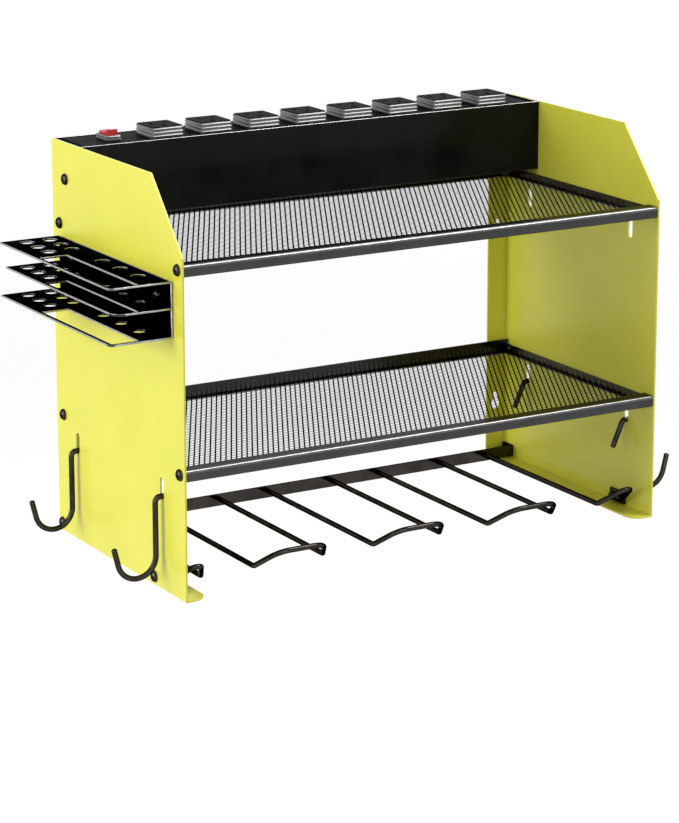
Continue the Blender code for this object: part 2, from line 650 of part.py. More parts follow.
def switch():
    """The switch's body with its bezel, and the rocker pressed down on its rear end."""
    pivot = Vector(rocker_pivot())
    flange_bottom = COVER_TOP + FIT_GAP
    length, breadth = BEZEL_LENGTH / 2, BEZEL_WIDTH / 2
    low = (SWITCH_X - breadth, STRIP_MIDDLE_Y - length, flange_bottom)
    high = (SWITCH_X + breadth, STRIP_MIDDLE_Y + length, flange_bottom + BEZEL_RISE)
    body = box("switch_body", low, high)
    core_low = (low[0] + BEZEL_RIM, low[1] + BEZEL_RIM, COVER_TOP - SWITCH_BODY_DEPTH)
    core_high = (high[0] - BEZEL_RIM, high[1] - BEZEL_RIM, flange_bottom + BEZEL_RISE / 2)
    combine(body, box("switch_core", core_low, core_high), "UNION")
    reach = ROCKER_LENGTH / 2 + ROCKER_CLEARANCE
    across = ROCKER_WIDTH / 2 + ROCKER_CLEARANCE
    floor = pivot.z - ROCKER_BOSS_RADIUS - FIT_GAP
    well_low = (SWITCH_X - across, STRIP_MIDDLE_Y - reach, floor)
    well_high = (SWITCH_X + across, STRIP_MIDDLE_Y + reach, high[2] + OVERRUN)
    combine(body, box("switch_well", well_low, well_high), "DIFFERENCE")
    finish(body, BLACK_PLASTIC)

    half = ROCKER_LENGTH / 2
    boss = arc((0, 0), ROCKER_BOSS_RADIUS, math.pi * 6 / 5, math.pi * 9 / 5, 2 * HEAD_STEPS)
    outline = [(-half, ROCKER_END_RISE), (-half, -ROCKER_SKIRT), (boss[0][0], -ROCKER_SKIRT)]
    outline += boss
    outline += [(boss[-1][0], -ROCKER_SKIRT), (half, -ROCKER_SKIRT), (half, ROCKER_END_RISE)]
    outline.append((0, ROCKER_DIP_RISE))
    tilt = Matrix.Rotation(-ROCKER_TILT, 3, "X") @ SIDEWAYS
    rocker = sheet("rocker", outline, [], ROCKER_WIDTH, pivot, tilt)
    finish(rocker, RED_PLASTIC)


def cord_gland():
    """The bush under the strip's right end through which a mains cord would leave."""
    flange_top = STRIP_WALL + FIT_GAP + GLAND_FLANGE
    seat = STRIP_WALL + FIT_GAP
    profile = [
        (GLAND_BORE_RADIUS, flange_top),
        (GLAND_FLANGE_RADIUS, flange_top),
        (GLAND_FLANGE_RADIUS, seat),
        (GLAND_NECK_RADIUS, seat),
        (GLAND_NECK_RADIUS, -TROUGH_SHEET - FIT_GAP),
        (GLAND_TIP_RADIUS, -GLAND_LENGTH),
        (GLAND_BORE_RADIUS, -GLAND_LENGTH),
    ]
    gland = bpy.data.objects.new("cord_gland", solid_mesh(turned("cord_gland", profile)))
    gland.location = (GLAND_X, STRIP_MIDDLE_Y, STRIP_BOTTOM)
    return finish(gland, RUBBER)


def tool_holder():
    """The holder on the left side: a back panel on two tabs, and three punched tiers."""
    plate_face = -HALF_WIDTH - FIT_GAP
    front = FRONT + HOLDER_FRONT_SETBACK
    rear = front + HOLDER_LENGTH
    bottom, top = TIER_HEIGHTS[0] - SHEET, TIER_HEIGHTS[-1]
    panel_outline = rectangle(front, bottom, rear, top)
    panel_place = (plate_face - SHEET / 2, 0, 0)
    holes = []
    for setback in SLOT_SETBACKS:
        holes.append(circle((FRONT + setback, HOLDER_SCREW_HEIGHT), SCREW_HOLE_RADIUS))
    panel = sheet("holder_back_panel", panel_outline, holes, SHEET, panel_place, SIDEWAYS)
    finish(panel, BLACK_COAT)
    for setback, end in zip(SLOT_SETBACKS, ("front", "rear")):
        spot = (FRONT + setback, HOLDER_SCREW_HEIGHT)
        corners = circle(spot, NUT_WIDTH / math.sqrt(3), 6)
        place = (-INNER_FACE + FIT_GAP + NUT_THICKNESS / 2, 0, 0)
        hole = [circle(spot, SCREW_HOLE_RADIUS)]
        nut = sheet("holder_nut_" + end, corners, hole, NUT_THICKNESS, place, SIDEWAYS)
        finish(nut, BLACK_CHROME)

    start = plate_face - SHEET - FIT_GAP
    names = ("holder_bottom_tier", "holder_middle_tier", "holder_top_tier")
    for name, height in zip(names, TIER_HEIGHTS):
        middle_one = name == "holder_middle_tier"
        reach = MIDDLE_TIER_REACH if middle_one else TIER_REACH
        corner = MIDDLE_TIER_CORNER if middle_one else TIER_CORNER
        end = -HALF_WIDTH - reach
        bend = arc((end + corner, front + corner), corner, math.pi, math.pi * 3 / 2, HEAD_STEPS)
        outline = bend + [(start, front), (start, rear), (end, rear)]
        holes = []
        for share in DRIVER_HOLE_SHARES:
            y = front + FIRST_DRIVER_SETBACK + share * DRIVER_ROOM
            holes.append(circle((-HALF_WIDTH - DRIVER_HOLE_OFFSET, y), DRIVER_HOLE_RADIUS))
        slot_right = -HALF_WIDTH - PLIERS_SLOT_OFFSET
        slot_front, slot_rear = front + HOLDER_EDGE, rear - PLIERS_SLOT_REAR_SPACE
        centre = (end + corner, front + corner)
        slot = arc(centre, corner - HOLDER_EDGE, math.pi, math.pi * 3 / 2, HEAD_STEPS)
        slot += [(slot_right, slot_front), (slot_right, slot_rear), (end + HOLDER_EDGE, slot_rear)]
        holes.append(slot)
        for row in range(BIT_HOLE_ROWS):
            y = rear - BIT_END_SETBACK - row * BIT_HOLE_PITCH
            for offset in BIT_HOLE_OFFSETS:
                holes.append(circle((-HALF_WIDTH - offset, y), BIT_HOLE_RADIUS))
        tier = sheet(name, outline, holes, SHEET, (0, 0, height - SHEET / 2))
        finish(tier, BLACK_COAT)


def nose_points(centre, left, right):
    """The upturned front of a divider between its rail ends: four corners from left to right."""
    low, high = FRONT + RAIL_FRONT_SETBACK, FRONT + NOSE_SETBACK
    left_in = NOSE_NARROWING if left == -DIVIDER_HALF_WIDTH else END_NARROWING
    return [
        (centre + left, low, RAIL_HEIGHT),
        (centre + left + left_in, high, NOSE_HEIGHT),
        (centre + right - NOSE_NARROWING, high, NOSE_HEIGHT),
        (centre + right, low, RAIL_HEIGHT),
    ]


def drill_rack():
    """The divider loops, the rear bar they end at, and the front tabs of the end loops."""
    bar_front = -RAIL_REAR_SPACE - REAR_BAR_THICKNESS
    rail_end = bar_front - FIT_GAP
    bends = (RAIL_BEND, NOSE_BEND, NOSE_BEND, RAIL_BEND)
    pitch = WIDTH / (RACK_DIVIDERS + 1)
    for number in range(RACK_DIVIDERS):
        centre = (number + 1) * pitch - HALF_WIDTH
        left, right = centre - DIVIDER_HALF_WIDTH, centre + DIVIDER_HALF_WIDTH
        path = [(left, rail_end, RAIL_HEIGHT)]
        path += nose_points(centre, -DIVIDER_HALF_WIDTH, DIVIDER_HALF_WIDTH)
        path.append((right, rail_end, RAIL_HEIGHT))
        loop = wire("divider_loop_%d" % (number + 1), filleted(path, bends))
        finish(loop, BLACK_CHROME)

    tab_face = INNER_FACE - FIT_GAP
    leg = HALF_WIDTH - (tab_face - RACK_TAB_THICKNESS - FIT_GAP - WIRE_RADIUS)
    leg_end = FRONT + RACK_SCREW_SETBACK - SCREW_HEAD_RADIUS
    bends = (RAIL_BEND, END_NOSE_BEND, END_NOSE_BEND, RAIL_BEND)
    for side, name in ((-1, "left"), (1, "right")):
        points = nose_points(0, leg, DIVIDER_HALF_WIDTH)
        path = [(leg, leg_end, RAIL_HEIGHT), *points, (DIVIDER_HALF_WIDTH, rail_end, RAIL_HEIGHT)]
        path = [(side * (HALF_WIDTH - x), y, z) for x, y, z in path]
        finish(wire(name + "_end_loop", filleted(path, bends)), BLACK_CHROME)
        start = FRONT + RAIL_FRONT_SETBACK
        low, high = RAIL_HEIGHT - REAR_BAR_HEIGHT / 2, RAIL_HEIGHT + REAR_BAR_HEIGHT / 2
        outline = rectangle(start, low, start + RACK_TAB_LENGTH, high)
        holes = [circle((FRONT + RACK_SCREW_SETBACK, RAIL_HEIGHT), SCREW_HOLE_RADIUS)]
        place = (side * (tab_face - RACK_TAB_THICKNESS / 2), 0, 0)
        tab = sheet(name + "_rack_tab", outline, holes, RACK_TAB_THICKNESS, place, SIDEWAYS)
        finish(tab, BLACK_CHROME)

    ear_end, inner = -SHEET - BEND_RELIEF, tab_face - RACK_TAB_THICKNESS
    bar_rear = bar_front + REAR_BAR_THICKNESS
    outline = [
        (-tab_face, bar_front),
        (tab_face, bar_front),
        (tab_face, ear_end),
        (inner, ear_end),
        (inner, bar_rear),
        (-inner, bar_rear),
        (-inner, ear_end),
        (-tab_face, ear_end),
    ]
    bar = sheet("rack_rear_bar", outline, [], REAR_BAR_HEIGHT, (0, 0, RAIL_HEIGHT))
    start = (-tab_face - OVERRUN, -SCREW_SETBACK, RAIL_HEIGHT)
    bore = rod("rear_bar_bore", start, (1, 0, 0), SCREW_HOLE_RADIUS, 2 * (tab_face + OVERRUN))
    combine(bar, bore, "DIFFERENCE")
    finish(bar, BLACK_CHROME)


def hook_profile():
    """The hook's middle line as distance out from the plate's middle and height over the pivot."""
    tail_x = -HOOK_ELBOW - math.sin(HOOK_TAIL_LEAN) * HOOK_TAIL_LENGTH
    tail_z = -math.cos(HOOK_TAIL_LEAN) * HOOK_TAIL_LENGTH
    reach = HOOK_REACH + SHEET / 2
    bow_centre = (reach + HOOK_BOW_RADIUS, -HOOK_DROP)
    bow = arc(bow_centre, HOOK_BOW_RADIUS, math.pi, 2 * math.pi - HOOK_TIP_LEAN, BOW_STEPS)
    tip = (
        bow[-1][0] + math.sin(HOOK_TIP_LEAN) * HOOK_TIP_LENGTH,
        bow[-1][1] + math.cos(HOOK_TIP_LEAN) * HOOK_TIP_LENGTH,
    )
    corners = [(tail_x, 0, tail_z), (-HOOK_ELBOW, 0, 0), (reach, 0, 0), (reach, 0, bow_centre[1])]
    bent = filleted(corners, (HOOK_ELBOW, HOOK_ELBOW))
    return [(point.x, point.z) for point in bent] + bow[1:] + [tip]


def hooks():
    """Four J-hooks hanging in the lower slots, each with its origin on its pivot."""
    profile = hook_profile()
    for side, side_name in ((-1, "left"), (1, "right")):
        for setback, end_name in zip(SLOT_SETBACKS, ("front", "rear")):
            points = [(side * out, 0, up) for out, up in profile]
            hook = wire("hook_%s_%s" % (side_name, end_name), points)
            middle = side * (HALF_WIDTH - SHEET / 2)
            hook.location = (middle, FRONT + setback, HOOK_PIVOT_HEIGHT)
            finish(hook, BLACK_CHROME)


def screws():
    """Domed screws through the side plates, into the trays, the trough and the rack."""
    dome = arc((0, 0), 1, math.pi / 2, 0, HEAD_STEPS)
    profile = [(SCREW_HEAD_RADIUS * x, SCREW_HEAD_RISE * y) for x, y in dome]
    profile[0] = (0, SCREW_HEAD_RISE)
    profile += [(SCREW_SHANK_RADIUS, 0), (SCREW_SHANK_RADIUS, -SCREW_REACH), (0, -SCREW_REACH)]
    mesh = solid_mesh(turned("screw", profile))
    mesh.materials.append(BLACK_CHROME)
    spots = {"rack_front": (RACK_SCREW_SETBACKS[0], RAIL_HEIGHT)}
    spots["rack_rear"] = (RACK_SCREW_SETBACKS[1], RAIL_HEIGHT)
    spots["trough"] = (DEPTH + STRIP_MIDDLE_Y, MOUNT_HEIGHT)
    for level, bottom in TRAY_BOTTOMS.items():
        for setback, end in zip(TRAY_SCREW_SETBACKS, ("front", "rear")):
            spots["%s_tray_%s" % (level, end)] = (setback, bottom + TRAY_SCREW_RISE)
    for side, side_name in ((-1, "left"), (1, "right")):
        for spot_name, (setback, height) in spots.items():
            screw = bpy.data.objects.new("screw_%s_%s" % (side_name, spot_name), mesh)
            screw.rotation_euler = (0, side * math.pi / 2, 0)
            screw.location = (side * (HALF_WIDTH + FIT_GAP), FRONT + setback, height)
            finish(screw, BLACK_CHROME)
    for setback, end in zip(SLOT_SETBACKS, ("front", "rear")):
        screw = bpy.data.objects.new("screw_holder_" + end, mesh)
        screw.rotation_euler = (0, -math.pi / 2, 0)
        face = -HALF_WIDTH - SHEET - 2 * FIT_GAP
        screw.location = (face, FRONT + setback, HOLDER_SCREW_HEIGHT)
        finish(screw, BLACK_CHROME)


def shade():
    """Round pieces smooth, with their real corners kept sharp."""
    for thing in ORGANIZER.objects:
        if thing.type == "MESH":
            thing.data.shade_smooth()
            thing.data.set_sharp_from_angle(angle=math.radians(30))


side_plate(-1)
side_plate(1)
for level, tray_bottom in TRAY_BOTTOMS.items():
    shelf_tray("%s_shelf_tray" % level, tray_bottom)
    shelf_mesh("%s_shelf_mesh" % level, tray_bottom)
trough()
strip_base()
strip_cover()
outlets()
bus_bars()
switch()
cord_gland()
tool_holder()
drill_rack()
hooks()
screws()
shade()
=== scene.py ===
import math

import bmesh
import bpy
import numpy as np
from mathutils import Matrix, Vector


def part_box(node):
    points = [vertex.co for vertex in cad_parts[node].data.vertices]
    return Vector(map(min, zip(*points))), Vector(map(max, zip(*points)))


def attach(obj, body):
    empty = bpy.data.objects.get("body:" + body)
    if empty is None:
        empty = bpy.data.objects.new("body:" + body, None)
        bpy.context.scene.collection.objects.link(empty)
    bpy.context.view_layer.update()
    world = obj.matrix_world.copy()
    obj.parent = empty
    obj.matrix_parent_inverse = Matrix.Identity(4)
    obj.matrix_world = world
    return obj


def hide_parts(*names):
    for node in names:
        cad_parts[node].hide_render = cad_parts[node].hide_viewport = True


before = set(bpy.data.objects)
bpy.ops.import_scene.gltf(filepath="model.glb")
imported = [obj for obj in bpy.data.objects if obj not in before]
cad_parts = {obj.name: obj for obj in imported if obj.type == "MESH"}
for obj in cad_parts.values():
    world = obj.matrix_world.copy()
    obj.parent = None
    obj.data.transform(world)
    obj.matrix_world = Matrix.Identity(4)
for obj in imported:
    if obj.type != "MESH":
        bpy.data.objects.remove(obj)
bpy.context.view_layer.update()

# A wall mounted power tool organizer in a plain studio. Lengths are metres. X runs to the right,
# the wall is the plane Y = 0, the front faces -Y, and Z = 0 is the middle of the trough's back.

MM = 0.001

# Camera, lights and floor
CAMERA_PLACE = (-1.2526, -2.2012, 0.4609)
CAMERA_TILT = math.radians(76.5)
CAMERA_TURN = math.radians(-30.59)
CAMERA_LENS = 133.9
CAMERA_SHIFT = -0.1118
LIGHT_TARGET = (0, -0.1, -0.1)
ROOM_STRENGTH = 0.4
FLOOR_DROP = 0.35
FLOOR_HALF_SIDE = 14.0
SHADOW_REACH = (0.5, 3.0)
MATT_SHARE = (0.45, 0.0)
GLOW_SHARE = (0.6, 1.0)

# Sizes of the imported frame
PLATE_LOW, PLATE_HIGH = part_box("right_side_plate")
HALF_WIDTH = PLATE_HIGH.x
FRONT = PLATE_LOW.y
BOTTOM = PLATE_LOW.z
SHEET = 1.5 * MM
WIRE_RADIUS = 2.25 * MM
LIP_HEIGHT = 9.5 * MM

# Softened edges
SHEET_EDGE = 0.45 * MM
TRAY_EDGE = 0.3 * MM
HOLDER_EDGE_RADIUS = 0.7 * MM
RACK_EDGE = 0.4 * MM
NUT_EDGE = 0.5 * MM
PLASTIC_EDGE = 0.4 * MM
GLAND_EDGE = 0.3 * MM
ROCKER_EDGE = 0.5 * MM
PLATE_BEND = 1.0 * MM
TROUGH_BEND = 1.2 * MM
LIP_RADIUS = 2.4 * MM
BEND_SEGMENTS = 4
SHARP_ANGLE = math.radians(35)
FLAT_ANGLE = math.radians(1)
TOUCH = 0.02 * MM
WELD = 0.001 * MM

# Strips of a sheet's cut, and the places of a sheet's finishes after its main one
WIDEST_CUT = 1.8 * MM
NARROWEST_SLANT = WIDEST_CUT / 3
SHORTEST_CUT = 4 * MM
SAME_PLANE = 0.9999
FACING = 0.9
# Material slots after the main finish: the cut and crest finishes are painted highlights, the rim finish is
# a painted reflection.
CUT_HIGHLIGHT_FINISH, CREST_HIGHLIGHT_FINISH, RIM_REFLECTION_FINISH = 1, 2, 3

# Expanded mesh of the decks
DIAMOND_WIDTH = 4.7 * MM
DIAMOND_LENGTH = 8.5 * MM
OPEN_SHARE = 0.50
STRAND_THICKNESS = 0.2 * MM
STRAND_TILT = 0.5 * MM
GRID_SLACK = 0.001

# Wires, with the angles of the rings on a rounded tip
WIRE_SIDES = 16
TIP_ANGLES = (78, 55, 30, 0)

# Drill rack
RACK_TIP = 0.3 * MM
NOSE_STEPS = 14
END_NOSE_STEPS = 8
END_LEG_SCREW = FRONT + 52 * MM
NOSE_NARROWING = 11 * MM
END_NARROWING = 6 * MM
RAIL_FRONT = FRONT + 35 * MM
NOSE_BENDS = (5 * MM, 15 * MM, 15 * MM, 5 * MM)
END_NOSE_BENDS = (5 * MM, 5 * MM, 5 * MM, 5 * MM)

# J-hooks, as distance out from the plate's middle and height over the slot's seat
HOOK_TAIL = 25 * MM
HOOK_TAIL_LEAN = math.radians(24)
HOOK_ELBOW = 4 * MM
HOOK_REACH = 6.75 * MM
HOOK_DROP = 46.35 * MM
HOOK_BOW = 16.5 * MM
HOOK_TIP = 15 * MM
HOOK_TIP_LEAN = math.radians(14)
HOOK_END = 1.2 * MM
ELBOW_STEPS = 9
BOW_STEPS = 25

# Screws: rings on the dome, then rings on the rim and the shank with their heights over the seat
HEAD_RADIUS = 4.7 * MM
HEAD_RISE = 3 * MM
RECESS_RADIUS = 2.5 * MM
RECESS_WIDTH = 0.75 * MM
RECESS_DEPTH = 1.3 * MM
RECESS_END_SLOPE = 0.4 * MM
RECESS_SIDE_SLOPE = 0.35 * MM
HEAD_SIDES = 48
DOME_RINGS = (0.3, 0.55, 0.8, 1.1, 1.5, 2.0, 2.45, 2.75, 3.3, 3.9, 4.35, 4.62)
RIM_AND_SHANK_RINGS = (4.7, 4.7, 4.4, 2.0, 2.0, 1.6)
RIM_AND_SHANK_HEIGHTS = (0.35, 0.1, 0.0, 0.0, -6.6, -7.0)

# Ribbed sleeves: a ridge's profile, as shares of the pitch downwards and millimetres outwards
RIDGE_DROP = (0.0, 0.04, 0.30, 0.48, 0.54)
RIDGE_REACH = (0.05, 0.10, 0.75, 0.75, 0.05)
GROOVE_DROP = 0.4
SLEEVE_GAP = 0.05 * MM
SLEEVE_INSET = -0.5 * MM
SLEEVE_CORNER = 1.2 * MM
SLEEVE_CORNER_STEPS = 5


# Camera, light and floor

def set_camera():
    """The camera stands to the left of the front and a little above the organizer."""
    lens = bpy.data.cameras.new("camera")
    lens.lens = CAMERA_LENS
    lens.shift_y = CAMERA_SHIFT
    camera = bpy.data.objects.new("camera", lens)
    camera.location = CAMERA_PLACE
    camera.rotation_euler = (CAMERA_TILT, 0, CAMERA_TURN)
    bpy.context.scene.collection.objects.link(camera)
    bpy.context.scene.camera = camera


def soft_box(name, place, width, height, power):
    """A rectangular lamp at a place, turned towards the middle of the organizer."""
    lamp = bpy.data.lights.new(name, "AREA")
    lamp.shape = "RECTANGLE"
    lamp.size = width
    lamp.size_y = height
    lamp.energy = power
    box = bpy.data.objects.new(name, lamp)
    aim = bpy.context.scene.cursor.location.copy()
    aim.x, aim.y, aim.z = [t - p for t, p in zip(LIGHT_TARGET, place)]
    box.location = place
    box.rotation_euler = aim.to_track_quat("-Z", "Y").to_euler()
    bpy.context.scene.collection.objects.link(box)


def background_rays(nodes, links):
    """Whether a ray comes from the camera, or from a glossy or a clear surface."""
    path = nodes.new("ShaderNodeLightPath")
    share = path.outputs["Is Camera Ray"]
    for kind in ("Is Glossy Ray", "Is Transmission Ray"):
        either = nodes.new("ShaderNodeMath")
        either.operation = "MAXIMUM"
        links.new(share, either.inputs[0])
        links.new(path.outputs[kind], either.inputs[1])
        share = either.outputs["Value"]
    return share


def set_world():
    """An even white room, which the camera and the glossy surfaces see as pure white."""
    world = bpy.data.worlds.new("studio")
    world.use_nodes = True
    nodes, links = world.node_tree.nodes, world.node_tree.links
    nodes.clear()
    output = nodes.new("ShaderNodeOutputWorld")
    choice = nodes.new("ShaderNodeMixShader")
    room = nodes.new("ShaderNodeBackground")
    room.inputs["Color"].default_value = (1, 1, 1, 1)
    room.inputs["Strength"].default_value = ROOM_STRENGTH
    seen = nodes.new("ShaderNodeBackground")
    seen.inputs["Color"].default_value = (1, 1, 1, 1)
    links.new(background_rays(nodes, links), choice.inputs["Fac"])
    links.new(room.outputs["Background"], choice.inputs[1])
    links.new(seen.outputs["Background"], choice.inputs[2])
    links.new(choice.outputs["Shader"], output.inputs["Surface"])
    bpy.context.scene.world = world


def floor_paint():
    """White matt paint. Near the organizer it keeps its shadow, and far away it glows evenly white.

    The share of the glow is a smooth step of the distance from the floor's middle.
    """
    paint = bpy.data.materials.new("floor_paint")
    paint.use_nodes = True
    nodes, links = paint.node_tree.nodes, paint.node_tree.links
    nodes.clear()
    output = nodes.new("ShaderNodeOutputMaterial")
    together = nodes.new("ShaderNodeAddShader")
    matt = nodes.new("ShaderNodeBsdfDiffuse")
    glow = nodes.new("ShaderNodeEmission")
    place = nodes.new("ShaderNodeTexCoord")
    distance = nodes.new("ShaderNodeVectorMath")
    distance.operation = "LENGTH"
    links.new(place.outputs["Object"], distance.inputs[0])
    grey = nodes.new("ShaderNodeMapRange")
    light = nodes.new("ShaderNodeMapRange")
    for ramp, (near, far) in ((grey, MATT_SHARE), (light, GLOW_SHARE)):
        ramp.interpolation_type = "SMOOTHSTEP"
        ramp.inputs["From Min"].default_value = SHADOW_REACH[0]
        ramp.inputs["From Max"].default_value = SHADOW_REACH[1]
        ramp.inputs["To Min"].default_value = near
        ramp.inputs["To Max"].default_value = far
        links.new(distance.outputs["Value"], ramp.inputs["Value"])
    share = nodes.new("ShaderNodeMath")
    share.operation = "MULTIPLY"
    links.new(background_rays(nodes, links), share.inputs[0])
    links.new(light.outputs["Result"], share.inputs[1])
    links.new(grey.outputs["Result"], matt.inputs["Color"])
    links.new(share.outputs["Value"], glow.inputs["Strength"])
    links.new(matt.outputs["BSDF"], together.inputs[0])
    links.new(glow.outputs["Emission"], together.inputs[1])
    links.new(together.outputs["Shader"], output.inputs["Surface"])
    return paint


def set_floor():
    """A flat floor below the organizer: a grid of two parameters, its half side in both directions."""
    ends = [-FLOOR_HALF_SIDE, FLOOR_HALF_SIDE]
    across, along = np.meshgrid(ends, ends)
    points = np.stack([across.ravel(), along.ravel(), np.full(4, BOTTOM - FLOOR_DROP)], axis=-1)
    mesh = bpy.data.meshes.new("floor")
    mesh.from_pydata(points, [], [(0, 1, 3, 2)])
    mesh.materials.append(floor_paint())
    floor = bpy.data.objects.new("floor", mesh)
    bpy.context.scene.collection.objects.link(floor)


# Finishes

def new_finish(name, colour, roughness, metallic=0.0, specular=None, specular_tint=None):
    """A shader with its even values on its own sockets."""
    finish = bpy.data.materials.new(name)
    finish.use_nodes = True
    shader = finish.node_tree.nodes["Principled BSDF"]
    shader.inputs["Base Color"].default_value = (*colour, 1)
    shader.inputs["Roughness"].default_value = roughness
    shader.inputs["Metallic"].default_value = metallic
    if specular is not None:
        shader.inputs["Specular IOR Level"].default_value = specular
    if specular_tint is not None:
        shader.inputs["Specular Tint"].default_value = (specular_tint, specular_tint, specular_tint, 1)
    return finish


def noise(finish, size, detail=3.0, stretch=(1, 1, 1)):
    """Noise on the piece's own place in space, with features of about the given size."""
    nodes, links = finish.node_tree.nodes, finish.node_tree.links
    place = nodes.new("ShaderNodeTexCoord")
    turn = nodes.new("ShaderNodeMapping")
    turn.inputs["Scale"].default_value = stretch
    cloud = nodes.new("ShaderNodeTexNoise")
    cloud.inputs["Scale"].default_value = 1 / size
    cloud.inputs["Detail"].default_value = detail
    links.new(place.outputs["Object"], turn.inputs["Vector"])
    links.new(turn.outputs["Vector"], cloud.inputs["Vector"])
    return cloud.outputs["Fac"]


def spread(finish, value, low, high, target_low, target_high):
    """Stretches a value from one range to another, and holds it at the ends."""
    nodes, links = finish.node_tree.nodes, finish.node_tree.links
    ramp = nodes.new("ShaderNodeMapRange")
    ramp.inputs["From Min"].default_value = low
    ramp.inputs["From Max"].default_value = high
    ramp.inputs["To Min"].default_value = target_low
    ramp.inputs["To Max"].default_value = target_high
    links.new(value, ramp.inputs["Value"])
    return ramp.outputs["Result"]


def tint(finish, share, first, second):
    """A colour between two, by a share."""
    nodes, links = finish.node_tree.nodes, finish.node_tree.links
    mix = nodes.new("ShaderNodeMix")
    mix.data_type = "RGBA"
    mix.inputs[6].default_value = (*first, 1)
    mix.inputs[7].default_value = (*second, 1)
    links.new(share, mix.inputs["Factor"])
    return mix.outputs[2]


def relief(finish, value, height, strength, below=None):
    """Raises the surface by a value, on top of another relief."""
    nodes, links = finish.node_tree.nodes, finish.node_tree.links
    bump = nodes.new("ShaderNodeBump")
    bump.inputs["Distance"].default_value = height
    bump.inputs["Strength"].default_value = strength
    links.new(value, bump.inputs["Height"])
    if below is not None:
        links.new(below, bump.inputs["Normal"])
    return bump.outputs["Normal"]


def set_socket(finish, socket, value):
    """Links a value to one of the shader's sockets."""
    shader = finish.node_tree.nodes["Principled BSDF"]
    finish.node_tree.links.new(value, shader.inputs[socket])


def drift(finish, cloud, colours, colour_range, roughness):
    """Colour and roughness drift together with a noise. Most of the noise lies between 0.3 and 0.7."""
    share = spread(finish, cloud, *colour_range, 0, 1)
    set_socket(finish, "Base Color", tint(finish, share, *colours))
    set_socket(finish, "Roughness", spread(finish, cloud, 0.3, 0.7, *roughness))


def plain_variation(finish, colours, roughness, patch, grain, height, strength):
    """Colour and roughness drift over patches, and a fine grain raises the surface."""
    drift(finish, noise(finish, patch), colours, (0.35, 0.65), roughness)
    fine = noise(finish, grain, 2.0)
    set_socket(finish, "Normal", relief(finish, fine, height, strength))


def powder_coat():
    """Lime powder coat: an orange peel of small soft swells under a fine grain."""
    finish = new_finish("lime_powder_coat", (0.78, 0.76, 0.07), 0.34)
    cloud = noise(finish, 60 * MM)
    share = spread(finish, cloud, 0.3, 0.7, 0, 1)
    set_socket(finish, "Base Color", tint(finish, share, (0.80, 0.78, 0.080), (0.76, 0.74, 0.066)))
    set_socket(finish, "Roughness", spread(finish, noise(finish, 9 * MM), 0.3, 0.7, 0.30, 0.37))
    peel = relief(finish, noise(finish, 1.6 * MM, 1.0), 0.05 * MM, 0.5)
    grain = relief(finish, noise(finish, 0.35 * MM, 1.0), 0.02 * MM, 0.3, peel)
    set_socket(finish, "Normal", grain)
    return finish


def black_coat():
    """Satin black coat on the trays."""
    finish = new_finish("satin_black_coat", (0.06, 0.06, 0.061), 0.2, metallic=1.0, specular_tint=0.5)
    colours = ((0.054, 0.054, 0.055), (0.064, 0.064, 0.065))
    plain_variation(
        finish, colours, (0.17, 0.24), patch=30 * MM, grain=0.9 * MM, height=0.012 * MM, strength=0.25
    )
    return finish


def low_glare_coat(name, colours, roughness):
    """A black coat that stays dark where it is seen at a low angle."""
    finish = new_finish(name, colours[0], roughness[0], metallic=1.0, specular_tint=0.15)
    plain_variation(
        finish, colours, roughness, patch=30 * MM, grain=0.9 * MM, height=0.010 * MM, strength=0.2
    )
    return finish


def gloss_coat():
    """Gloss black coat on the trough, with long soft waves in the sheet."""
    finish = new_finish("gloss_black_coat", (0.006, 0.006, 0.006), 0.14, specular=0.08)
    colours = ((0.004, 0.004, 0.004), (0.008, 0.008, 0.0075))
    plain_variation(
        finish, colours, (0.12, 0.18), patch=40 * MM, grain=2.5 * MM, height=0.05 * MM, strength=0.2
    )
    return finish


def black_chrome():
    """Black chrome on the wires and screws: a warm dark metal with a very fine grain."""
    finish = new_finish("black_chrome_plating", (0.04, 0.037, 0.033), 0.1, metallic=1.0, specular_tint=0.2)
    colours = ((0.030, 0.027, 0.024), (0.046, 0.042, 0.037))
    plain_variation(
        finish, colours, (0.09, 0.14), patch=14 * MM, grain=0.6 * MM, height=0.003 * MM, strength=0.15
    )
    return finish


def brass():
    """Rolled brass of the bus bars."""
    finish = new_finish("rolled_brass", (0.75, 0.55, 0.22), 0.3, metallic=1.0)
    cloud = noise(finish, 4 * MM, 4.0, (0.15, 1, 1))
    drift(finish, cloud, ((0.78, 0.58, 0.24), (0.62, 0.44, 0.17)), (0.3, 0.7), (0.24, 0.38))
    set_socket(finish, "Normal", relief(finish, cloud, 0.02 * MM, 0.3))
    return finish


def moulded(name, colours, roughness, specular=0.5):
    """Moulded plastic with a fine spark-eroded grain."""
    finish = new_finish(name, colours[0], roughness[0], specular=specular)
    plain_variation(
        finish, colours, roughness, patch=12 * MM, grain=0.4 * MM, height=0.03 * MM, strength=0.35
    )
    return finish


def greys(first, second):
    """Two even greys."""
    return (first, first, first), (second, second, second)


FINISHES = {
    "powder_coat": powder_coat(),
    "black_coat": black_coat(),
    "gloss_coat": gloss_coat(),
    "black_chrome": black_chrome(),
    "brass": brass(),
    "grey_plastic": moulded(
        "grey_plastic_moulding", ((0.095, 0.095, 0.097), (0.115, 0.115, 0.118)), (0.18, 0.25), 0.8
    ),
    "black_plastic": moulded("black_plastic_moulding", greys(0.004, 0.007), (0.42, 0.52), 0.01),
    "red_plastic": moulded(
        "red_rocker_plastic", ((0.40, 0.009, 0.011), (0.46, 0.012, 0.013)), (0.18, 0.26), 0.3
    ),
    "rubber": moulded("black_rubber", greys(0.016, 0.024), (0.55, 0.68)),
}


